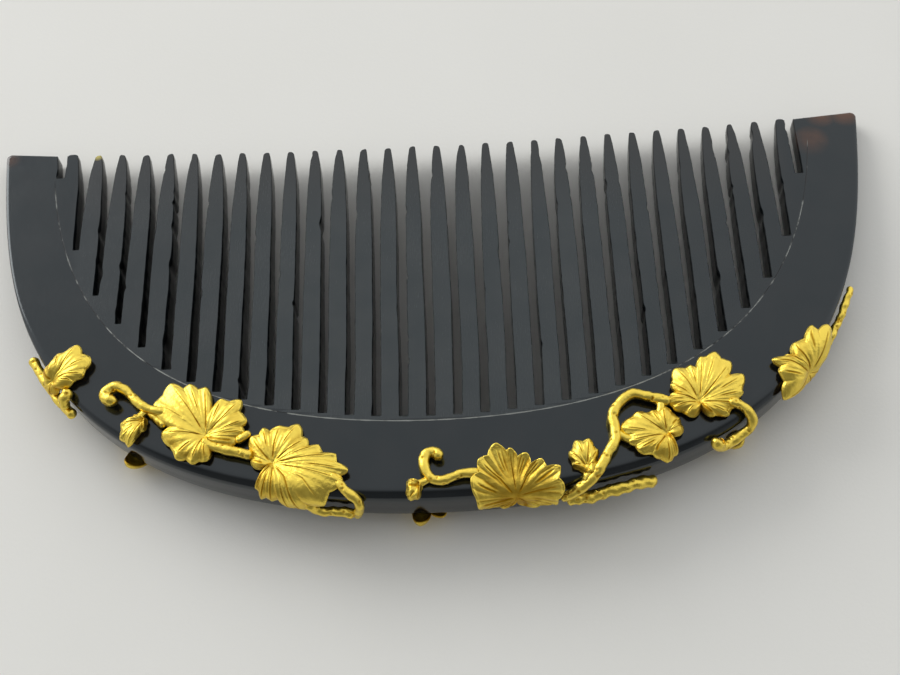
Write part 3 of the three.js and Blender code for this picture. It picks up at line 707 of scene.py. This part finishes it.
# ---- Gold leaves ----------------------------------------------------------------------------
# A margin lists the angle in degrees and the reach in millimetres of lobe tips and notches by turns,
# seen from the leaf's hub, where its veins meet.
LEAVES = {
    "leaf_far_left": dict(hub=(-44.1, -11.1), margin=[
        (2, 3.3), (12, 3.5), (30, 4.4), (47, 4.0), (61, 4.5), (74, 3.6), (88, 3.0), (105, 2.5),
        (125, 2.0), (150, 1.4), (190, 1.6), (220, 1.2), (250, 1.4), (300, 1.0), (338, 2.2), (349, 2.6),
    ]),
    "leaf_left": dict(hub=(-25.8, -19.4), margin=[
        (5, 4.4), (13, 4.3), (21, 4.9), (38, 4.8), (48, 5.7), (59, 5.0), (70, 4.8), (81, 3.5),
        (94, 6.1), (102, 6.2), (109, 6.9), (116, 6.9), (124, 8.0), (135, 7.6), (145, 7.4), (164, 4.5),
        (175, 5.0), (195, 4.2), (214, 3.9), (232, 3.3), (246, 3.3), (259, 3.0), (274, 3.0), (305, 0.7),
        (349, 3.6), (357, 4.0),
    ]),
    "leaf_mid_left": dict(hub=(-17.9, -23.1), margin=[
        (6, 7.1), (11, 5.8), (21, 5.5), (27, 4.4), (37, 4.7), (46, 4.6), (60, 5.4), (70, 4.8),
        (81, 4.6), (97, 4.1), (106, 4.5), (116, 4.1), (127, 4.2), (150, 3.0), (168, 2.5), (215, 0.6),
        (230, 2.8), (239, 2.9), (247, 3.4), (257, 3.2), (268, 3.5), (282, 3.6), (294, 5.4), (299, 5.3),
        (305, 6.1), (315, 5.7), (327, 7.1), (334, 7.3), (343, 8.2), (347, 8.0), (352, 8.5), (359, 7.3),
    ]),
    "leaf_centre": dict(hub=(9.4, -27.2), cupped=True, margin=[
        (12, 5.2), (17, 4.9), (23, 5.3), (33, 4.1), (46, 4.2), (57, 3.1), (72, 4.0), (85, 3.5),
        (97, 4.4), (103, 4.3), (113, 5.4), (129, 4.8), (141, 5.1), (155, 4.4), (168, 5.0), (178, 4.6),
        (186, 4.3), (205, 2.8), (220, 2.1), (270, 0.5), (328, 2.9), (336, 3.7), (348, 4.6), (2, 4.5),
    ]),
    "leaf_bud_right": dict(hub=(17.4, -24.9), margin=[
        (30, 1.3), (44, 1.7), (58, 2.4), (70, 2.65), (84, 3.3), (96, 3.1), (108, 3.3), (121, 2.8),
        (134, 2.6), (152, 1.9), (166, 1.6), (188, 0.9), (230, 0.5), (320, 0.5),
    ]),
    "leaf_right_low": dict(hub=(26.6, -21.2), margin=[
        (27, 2.0), (40, 2.2), (50, 2.4), (72, 2.7), (92, 3.3), (107, 3.1), (117, 3.2), (128, 3.4),
        (141, 4.2), (153, 4.6), (170, 5.1), (181, 4.5), (191, 4.4), (200, 3.9), (209, 3.9), (222, 3.3),
        (230, 2.8), (247, 2.6), (262, 2.6), (276, 2.4), (289, 2.0), (330, 0.3),
    ]),
    "leaf_right_high": dict(hub=(30.6, -17.4), margin=[
        (12, 5.1), (19, 5.5), (30, 6.1), (40, 5.0), (50, 6.2), (60, 6.2), (68, 6.5), (76, 5.9),
        (82, 5.6), (90, 4.4), (97, 4.6), (105, 4.5), (118, 4.8), (133, 4.0), (142, 3.7), (153, 2.8),
        (160, 3.2), (167, 3.5), (175, 3.8), (184, 3.3), (192, 3.0), (208, 2.3), (225, 2.1), (280, 0.6),
        (312, 2.3), (322, 2.9), (334, 3.5), (345, 3.7), (355, 4.2), (4, 4.5),
    ]),
    "leaf_far_right": dict(hub=(43.5, -13.2), margin=[
        (5, 3.4), (25, 3.4), (40, 4.4), (52, 4.6), (63, 5.9), (70, 4.8), (77, 5.0), (90, 3.4),
        (113, 3.0), (141, 2.1), (149, 2.7), (158, 3.2), (169, 4.0), (182, 3.2), (195, 3.5), (208, 3.6),
        (223, 4.6), (234, 3.9), (245, 3.2), (275, 2.2), (310, 2.6), (340, 2.7),
    ]),
    "bud_left": dict(hub=(-33.2, -17.2), margin=[
        (20, 0.4), (110, 0.5), (150, 1.3), (170, 1.8), (190, 2.5), (203, 2.5), (216, 2.7), (230, 2.6),
        (243, 2.7), (255, 2.1), (268, 1.3), (310, 0.5),
    ]),
    "bud_centre": dict(hub=(-1.4, -26.3), margin=[
        (60, 0.3), (132, 1.0), (150, 1.2), (165, 1.4), (180, 1.3), (200, 1.5), (212, 1.4), (228, 1.3),
        (255, 0.9), (300, 0.4),
    ]),
}
BACK_MARGIN = [
    (10, 4.4), (32, 3.6), (50, 4.8), (71, 4.1), (90, 5.4), (109, 4.1), (130, 4.8), (148, 3.6),
    (170, 4.4), (195, 3.3), (220, 3.7), (245, 2.9), (270, 0.6), (295, 2.9), (320, 3.7), (345, 3.3),
]
for name, hub, turn, size in (
    ("back_leaf_left", (-33, -14.8), 150, 1.05),
    ("back_leaf_mid_left", (-17.2, -20.1), 30, 0.9),
    ("back_leaf_centre", (-1, -23.2), 170, 0.85),
    ("back_leaf_mid_right", (17, -20.1), -20, 0.9),
    ("back_leaf_right", (33, -14.8), 205, 1.05),
):
    turned = [(a + turn, r * size) for a, r in BACK_MARGIN]
    LEAVES[name] = dict(hub=hub, rise=BACK_RISE, back=True, margin=turned)

LEAF_SPAN = 16
LEAF_RINGS = 44
FRONT_SWELL = 0.86
BACK_SWELL = 0.9
BOWL_SWELL = 1.2
NOTCH_DEEPENING = 0.01
FOLD_REACH = 16
FOLD_LIFT = 1.0
FLUTE_DEPTH = 0.17
VEIN_HALF_WIDTH = 0.07
VEIN_DEPTH = 0.1
RIB_HEIGHT = 0.038
RIM_LIFT = 0.05
LIP_RADIUS = 0.16
LIP_TURNS = (40, 80, 120, 160, 200)
# How far out each ring of the underside lies, and the height that it doesn't pass.
FRONT_UNDERSIDE = ((0.9, 0.45), (0.8, 0.14), (0.5, 0.1), (0.2, 0.1))
BACK_UNDERSIDE = ((0.9, 3.0), (0.8, 3.0), (0.6, 0.1), (0.2, 0.1))


def scalloped(margin):
    """A leaf's margin as fine angles and reaches: round lobes that meet in notches."""
    angles, reaches = [], []
    for k, (angle, reach) in enumerate(margin):
        next_angle, next_reach = margin[(k + 1) % len(margin)]
        span = (next_angle - angle) % 360
        for j in range(LEAF_SPAN):
            t = j / LEAF_SPAN
            from_notch = t if k % 2 else 1 - t
            notch, tip = (reach, next_reach) if k % 2 else (next_reach, reach)
            swell = math.sin(from_notch * math.pi / 2) ** 0.9
            angles.append(angle + span * t)
            reaches.append((notch + (tip - notch) * swell) * (1 + NOTCH_DEEPENING * (2 * swell - 1)))
    return np.radians(angles), np.array(reaches)


def main_folds(angles, reach):
    """How far each direction belongs to a main lobe (above 0) or to a fold between two (below 0)."""
    apart = np.angle(np.exp(1j * (angles[:, None] - angles[None, :])))
    steps = np.abs(np.gradient(np.unwrap(angles)))
    weight = np.exp(-(apart / math.radians(FOLD_REACH)) ** 2) * steps
    smooth = (weight * reach).sum(1) / weight.sum(1)
    return np.clip(smooth / smooth.max() - 0.72, -0.45, 0.28)


def half_lobe_widths(margin):
    """For every fine step of a margin: half the width of its lobe at the margin, in millimetres."""
    angles = np.array([a for a, _ in margin], float)
    reaches = np.array([r for _, r in margin], float)
    spans = np.radians((np.roll(angles, -1) - angles) % 360)
    widths = (spans + np.roll(spans, 1)) / 2 * reaches
    steps = np.arange(len(margin) * LEAF_SPAN) / LEAF_SPAN
    return np.interp(steps, np.arange(len(margin) + 1), np.append(widths, widths[0]))


def vein_lines(steps, v, local, share, cupped):
    """How deep the incised veins cut at one ring: one along each lobe, every other one starting half way."""
    lobe = np.floor((steps + 1) / 2)
    first = np.where(lobe % 2 == 0, 0.1, 0.42)
    fade = np.clip((share - first) / 0.1, 0, 1) * np.clip((0.9 - share) / 0.1, 0, 1)
    lines = fade * np.exp(-(v * local / VEIN_HALF_WIDTH) ** 2)
    if cupped:
        beside = np.clip((local - 0.35) / 0.3, 0, 1) * np.clip((share - 0.3) / 0.1, 0, 1)
        lines = np.maximum(lines, 0.6 * beside * np.exp(-((v - 0.5) * local / VEIN_HALF_WIDTH) ** 2))
    return lines


def upper_face(name, margin, rise, cupped, back):
    """Rings of a leaf's upper face, from its hub out: their shares of the reach, their heights, and their
    painted light for the gold, from painted shade to painted highlight.
    """
    rng = np.random.default_rng(sum(map(ord, name)))
    angles, reach = scalloped(margin)
    widths = half_lobe_widths(margin)
    folds = main_folds(angles, reach)
    steps = np.arange(len(angles)) / LEAF_SPAN
    phase = rng.random(4) * 2 * math.pi
    share = np.concatenate([np.linspace(0.03, 0.93, LEAF_RINGS), np.linspace(0.945, 1.0, 6)])
    heights, painted_lights = [], []
    for r in share:
        drift = 0.3 * (math.sin(1.9 * r + phase[0]) - math.sin(1.9 + phase[0]))
        v = np.abs(np.mod(steps + drift + 1, 2) - 1)
        local = widths * r
        flute = np.minimum(FLUTE_DEPTH, 0.2 * local) * r ** 2.5 * (0.4 - v ** 1.6)
        lines = vein_lines(steps + drift, v, local, r, cupped)
        if cupped:
            standing = 0.3 + 0.7 * np.clip(np.sin(angles) + 0.4, 0, 1)
            body = BOWL_SWELL * rise * r * r * standing
        else:
            body = rise * (BACK_SWELL if back else FRONT_SWELL) * (0.12 + 2.9 * r * (1 - r) ** 0.8)
        fold = FOLD_LIFT * folds * r ** 1.5 * (1 - 0.5 * r)
        ribs = np.minimum(RIB_HEIGHT, 0.07 * local) * min(1, max(0, (r - 0.2) / 0.3))
        ribs = ribs * np.cos(2 * math.pi * (steps + drift))
        rim = math.exp(-((r - 0.975) / 0.03) ** 2)
        ripple = 0.06 * np.sin(3 * angles + phase[1]) * r + 0.04 * np.sin(5 * angles + 6 * r + phase[2]) * r
        chased = body + fold + flute + ribs - VEIN_DEPTH * lines + RIM_LIFT * rim + ripple
        heights.append(GAP + LEAF_THICKNESS + chased)
        # Painted light: darker in the folds between main lobes, in the flute valleys and along the veins,
        # and lighter on the main lobes, flute ridges and rim.
        bright = 0.58 + 0.7 * folds * r + 2.0 * flute - 0.65 * lines + 0.35 * rim
        if cupped:
            # Painted shade: darker deep in the cup.
            bright = bright - 0.35 * (1 - r) - 0.08
        painted_lights.append(np.clip(bright, 0, 1))
    return share, heights, painted_lights


def leaf(name, hub, margin, rise=FRONT_RISE, cupped=False, back=False):
    """A chased leaf: gently folded between its main lobes, with incised veins and a raised margin, smoother
    and painted lighter as a painted highlight.
    """
    hub = np.array(hub, float)
    angles, reach = scalloped(margin)
    outward = np.column_stack([np.cos(angles), np.sin(angles)])
    edge = outward * reach[:, None]
    columns = len(edge)
    share, heights, painted_lights = upper_face(name, margin, rise, cupped, back)
    rows = [drape(hub + edge * r, h, back) for r, h in zip(share, heights)]
    top = heights[-1]
    for turn in np.radians(LIP_TURNS):
        around = hub + edge + outward * (0.6 * LIP_RADIUS * math.sin(turn))
        rows.append(drape(around, top - LIP_RADIUS + LIP_RADIUS * math.cos(turn), back))
        # Painted light on the lip: lighter on its top, darker as it turns under.
        painted_lights.append(np.full(columns, 0.8 * max(0.0, 1 - turn / 2.6)))
    # Undersides: painted dark as shade on the front leaves, painted lighter on the back leaves as a painted
    # highlight.
    for r, low in BACK_UNDERSIDE if back else FRONT_UNDERSIDE:
        rows.append(drape(hub + edge * r, np.minimum(low, top - 0.3), back))
        painted_lights.append(np.full(columns, 0.55 if back else 0.0))
    centre_top = drape([hub], [float(heights[0].mean())], back)
    centre_low = drape([hub], [0.1], back)
    points = np.vstack([*rows, centre_top, centre_low])
    # The hub's two centre points are painted dark, as shade.
    painted_light = np.concatenate([*painted_lights, [0.2, 0.0]])
    faces = grid_faces(len(rows), columns)
    peak = len(rows) * columns
    last = (len(rows) - 1) * columns
    faces += [[(c + 1) % columns, c, peak] for c in range(columns)]
    faces += [[last + c, last + (c + 1) % columns, peak + 1] for c in range(columns)]
    if not back:
        faces = [f[::-1] for f in faces]
    make_piece(name + "_gold", points, faces, GOLD, [name], painted_light)


for name, spec in LEAVES.items():
    leaf(name, **spec)

# ---- Gold stems and tendrils ----------------------------------------------------------------
STEMS = {
    "edge_stem_left": dict(radius=0.6, route=[
        (-49.0, -7.6), (-48.0, -9.4), (-46.9, -11.1), (-45.5, -12.9), (-44.0, -14.4), (-42.3, -15.4),
    ]),
    "granules_left": dict(radius=0.66, lumps=0.22, route=[(-42.1, -12.7), (-42.7, -13.5), (-43.1, -14.2)]),
    "tendril_left": dict(head=0.86, radius=0.56, route=[
        (-36.7, -14.1), (-37.1, -14.5), (-37.7, -14.2), (-37.8, -13.6), (-37.2, -13.0), (-36.4, -12.9),
        (-35.5, -13.4), (-34.7, -14.2), (-33.9, -15.0), (-33.0, -15.7), (-31.9, -16.1), (-30.6, -16.3),
    ], twigs=[
        [(-32.9, -15.8), (-33.4, -16.3), (-34.0, -17.1)],
        [(-32.6, -15.9), (-31.9, -16.8), (-30.6, -18.0)],
    ]),
    "stem_left": dict(radius=0.6, route=[
        (-26.2, -19.9), (-25.2, -20.6), (-24.0, -21.0), (-22.3, -21.5), (-20.2, -22.1),
    ], twigs=[[(-22.3, -20.3), (-21.6, -19.8), (-20.6, -19.1)]]),
    "stem_mid_left": dict(radius=0.56, route=[
        (-11.4, -24.6), (-10.4, -25.7), (-9.4, -26.4), (-8.4, -27.0), (-8.1, -27.6), (-8.5, -28.8),
        (-8.9, -30.0),
    ]),
    "edge_bar_left": dict(radius=0.58, lumps=0.16, route=[
        (-14.2, -27.2), (-13.0, -28.6), (-11.3, -28.9), (-8.9, -29.3),
    ]),
    "tendril_centre": dict(head=0.68, radius=0.55, route=[
        (0.5, -23.4), (0.75, -22.8), (0.2, -22.45), (-0.45, -22.6), (-0.8, -23.3), (-0.75, -24.2),
        (-0.45, -25.0), (0.2, -25.7), (1.2, -25.9), (2.2, -25.6), (3.2, -25.2), (4.3, -25.1), (5.8, -25.2),
    ], twigs=[[(-0.1, -25.3), (-0.7, -25.8), (-1.7, -26.2)]]),
    "main_stem": dict(radius=0.62, route=[
        (14.4, -27.7), (15.6, -26.9), (16.7, -26.2), (17.9, -25.5), (19.0, -24.6), (19.8, -23.3),
        (20.7, -21.8), (20.8, -20.2), (20.7, -18.7), (21.4, -17.4), (22.4, -16.5), (23.3, -16.1),
        (24.5, -16.4), (26.1, -16.9), (27.4, -17.3),
    ], twigs=[
        [(25.2, -16.6), (26.2, -17.4), (26.0, -18.9)],
        [(20.4, -20.4), (21.4, -21.2), (22.8, -21.9)],
        [(16.8, -26.3), (17.3, -25.5), (17.5, -24.4)],
    ]),
    "edge_branch_right": dict(radius=0.72, lumps=0.17, route=[
        (15.2, -28.5), (16.9, -28.3), (18.4, -27.9), (19.9, -27.5), (21.3, -27.0), (23.4, -26.6),
        (25.9, -26.6),
    ]),
    "curl_stem_right": dict(head=0.74, radius=0.58, route=[
        (32.2, -21.1), (32.0, -21.5), (32.7, -21.8), (33.9, -21.6), (35.0, -20.7), (35.9, -19.8),
        (36.1, -19.0), (35.7, -18.4), (34.9, -17.9), (33.8, -17.5),
    ]),
    "tendril_far_right": dict(radius=0.46, lumps=0.18, route=[
        (48.2, -10.2), (48.8, -9.0), (49.3, -7.6), (49.9, -6.2), (50.4, -4.8), (50.6, -3.6), (51.3, -2.3),
    ]),
}
TENDRIL_ROUTE = [
    (0.6, 0.6), (1.1, 1.0), (1.6, 0.6), (1.6, -0.1), (1.0, -0.5), (0.1, -0.4), (-1.0, 0.4), (-2.4, 0.7),
]
for side, sign in (("left", -1), ("right", 1)):
    STEMS["back_stem_" + side] = dict(back=True, route=[
        (sign * 27.3, -19.4), (sign * 25.6, -20.4), (sign * 24.0, -21.2), (sign * 22.4, -21.6),
    ])
    STEMS["back_stem_inner_" + side] = dict(back=True, route=[
        (sign * 11.8, -23.0), (sign * 9.8, -24.2), (sign * 7.6, -24.6), (sign * 5.6, -24.4),
    ])
    STEMS["back_tendril_" + side] = dict(back=True, route=[
        (sign * (41.3 + x), y - 10.2) for x, y in TENDRIL_ROUTE
    ])

STEM_SIDES = 22
STEM_STEP = 0.08
END_CAP = 0.9
PITS_PER_MM = 2.6
PIT_RADIUS = 0.17
PIT_DEPTH = 0.2
PLAIN_LUMPS = 0.03
TWIG_THICKNESS = 0.8


def bark_tube(rng, route, radius, head, lumps, back):
    """Points, faces and painted light of one round stem with bark pits, rounded off at both ends: painted
    shade in the pits, painted highlight on the ridges and knots.
    """
    lifted = drape(np.array(route), GAP + max(radius, head), back)
    line = line_through(lifted, STEM_STEP)
    steps = len(line)
    ahead = np.gradient(line, axis=0)
    ahead /= np.linalg.norm(ahead, axis=1)[:, None]
    side = np.cross(ahead[0], [0.0, 0.0, 1.0])
    along = np.arange(steps) * STEM_STEP
    length = along[-1]
    turns = np.linspace(0, 2 * math.pi, STEM_SIDES, endpoint=False)
    waves = rng.random(4) * 2 * math.pi
    pits = [(rng.uniform(0, length), rng.uniform(0, 2 * math.pi)) for _ in range(int(length * PITS_PER_MM))]
    rows, painted_lights = [], []
    for i in range(steps):
        side = side - ahead[i] * (side @ ahead[i])
        side /= np.linalg.norm(side)
        up = np.cross(side, ahead[i])
        thick = head + (radius - head) * min(1.0, 2 * along[i] / length)
        end = min(along[i], length - along[i])
        cap = math.sqrt(max(0.0, 1 - (1 - min(1.0, end / (END_CAP * thick))) ** 2))
        swell = 0.05 * math.sin(1.9 * along[i] + waves[0]) + 0.03 * math.sin(4.1 * along[i] + waves[1])
        ridge = 0.025 * np.sin(2 * turns + 0.8 * along[i] + waves[2])
        knots = lumps * np.sin(3.1 * along[i] + waves[3]) * np.cos(turns + 1.3 * along[i])
        pitted = np.zeros(STEM_SIDES)
        for at, turn in pits:
            if abs(at - along[i]) < 0.5:
                round_off = np.angle(np.exp(1j * (turns - turn))) * thick
                pitted += np.exp(-(((at - along[i]) / PIT_RADIUS) ** 2 + (round_off / PIT_RADIUS) ** 2))
        pitted = np.minimum(1, pitted)
        r = thick * cap * (1 + swell + ridge + knots - PIT_DEPTH * pitted)
        rows.append(line[i] + r[:, None] * (np.cos(turns)[:, None] * side + np.sin(turns)[:, None] * up))
        # Painted light: darker in the pits as shade, lighter on the ridges and knots.
        painted_lights.append(np.clip(0.75 + 2 * ridge + 0.9 * knots - 0.8 * pitted, 0, 1))
    faces = [f[::-1] for f in grid_faces(steps, STEM_SIDES)]
    faces.append(list(range(STEM_SIDES)))
    faces.append(list(range((steps - 1) * STEM_SIDES, steps * STEM_SIDES))[::-1])
    return np.vstack(rows), faces, np.concatenate(painted_lights)


def stem(name, route, radius=STEM_RADIUS, head=None, lumps=PLAIN_LUMPS, twigs=(), back=False):
    """A stem with the short twigs that join it to its neighbours."""
    rng = np.random.default_rng(sum(map(ord, name)))
    tubes = [bark_tube(rng, route, radius, head or radius, lumps, back)]
    thin = TWIG_THICKNESS * radius
    tubes += [bark_tube(rng, twig, thin, thin, PLAIN_LUMPS, back) for twig in twigs]
    faces, first = [], 0
    for points, own, _ in tubes:
        faces += [[first + v for v in face] for face in own]
        first += len(points)
    points = np.vstack([t[0] for t in tubes])
    make_piece(name + "_gold", points, faces, GOLD, [name], np.concatenate([t[2] for t in tubes]))


for name, spec in STEMS.items():
    stem(name, **spec)

# The pins keep their CAD meshes, in the same gold; with no stored painted light they take mostly its
# painted-shade colour.
for cad in frame["nodes"].values():
    if not cad.hide_render:
        cad.data.materials.clear()
        cad.data.materials.append(GOLD)


# ---- Table, light ---------------------------------------------------------------------------
TABLE_HALF = 2.0
ROOM_COLOUR = (0.97, 0.985, 1.0, 1)
WINDOW_AT = (-0.62, 0.55, 0.36)
WINDOW_SIZE = 0.6
WINDOW_WATTS = 4.0
WINDOW_COLOUR = (1.0, 0.99, 0.97)


def make_table():
    """A plain table top, far wider than the view."""
    half = TABLE_HALF
    mesh = bpy.data.meshes.new("table")
    corners = [(-half, -half, 0), (half, -half, 0), (half, half, 0), (-half, half, 0)]
    mesh.from_pydata(corners, [], [(0, 1, 2, 3)])
    mesh.materials.append(table_material())
    table = bpy.data.objects.new("table", mesh)
    bpy.context.scene.collection.objects.link(table)


def make_world():
    """A pale room: bright above and beyond the comb, dim low down on the viewer's side."""
    world = bpy.data.worlds.new("room")
    bpy.context.scene.world = world
    world.use_nodes = True
    tree = world.node_tree
    background = tree.nodes["Background"]
    way = tree.nodes.new("ShaderNodeTexCoord").outputs["Generated"]
    split = tree.nodes.new("ShaderNodeSeparateXYZ")
    tree.links.new(way, split.inputs[0])

    def step(source, low, high, out_low, out_high):
        node = tree.nodes.new("ShaderNodeMapRange")
        node.interpolation_type = "SMOOTHSTEP"
        for key, value in zip(("From Min", "From Max", "To Min", "To Max"), (low, high, out_low, out_high)):
            node.inputs[key].default_value = value
        tree.links.new(source, node.inputs["Value"])
        return node.outputs["Result"]

    def maths(operation, a, b=0.0):
        node = tree.nodes.new("ShaderNodeMath")
        node.operation = operation
        for socket, value in zip(node.inputs, (a, b)):
            if isinstance(value, float):
                socket.default_value = value
            else:
                tree.links.new(value, socket)
        return node.outputs[0]

    overhead = step(split.outputs["Z"], 0.55, 0.98, 1.12, 0.9)
    viewer_side = step(split.outputs["Y"], -0.35, 0.15, 0.2, 1.0)
    to_the_sides = step(maths("ABSOLUTE", split.outputs["X"]), 0.55, 0.9, 0.2, 0.55)
    open_sky = maths("MAXIMUM", viewer_side, to_the_sides)
    tree.links.new(maths("MULTIPLY", overhead, open_sky), background.inputs["Strength"])
    background.inputs["Color"].default_value = ROOM_COLOUR


def area_light(name, at, aim, size, watts, colour):
    """A round soft light at a place, aimed at another."""
    data = bpy.data.lights.new(name, "AREA")
    data.shape = "DISK"
    data.size = size
    data.energy = watts
    data.color = colour
    light = bpy.data.objects.new(name, data)
    bpy.context.scene.collection.objects.link(light)
    way = Vector(at) - Vector(aim)
    light.location = at
    light.rotation_mode = "QUATERNION"
    light.rotation_quaternion = way.to_track_quat("Z", "Y")


make_table()
make_world()
area_light("window", WINDOW_AT, (0, 0, 0), WINDOW_SIZE, WINDOW_WATTS, WINDOW_COLOUR)
bpy.context.scene.view_settings.view_transform = "Standard"
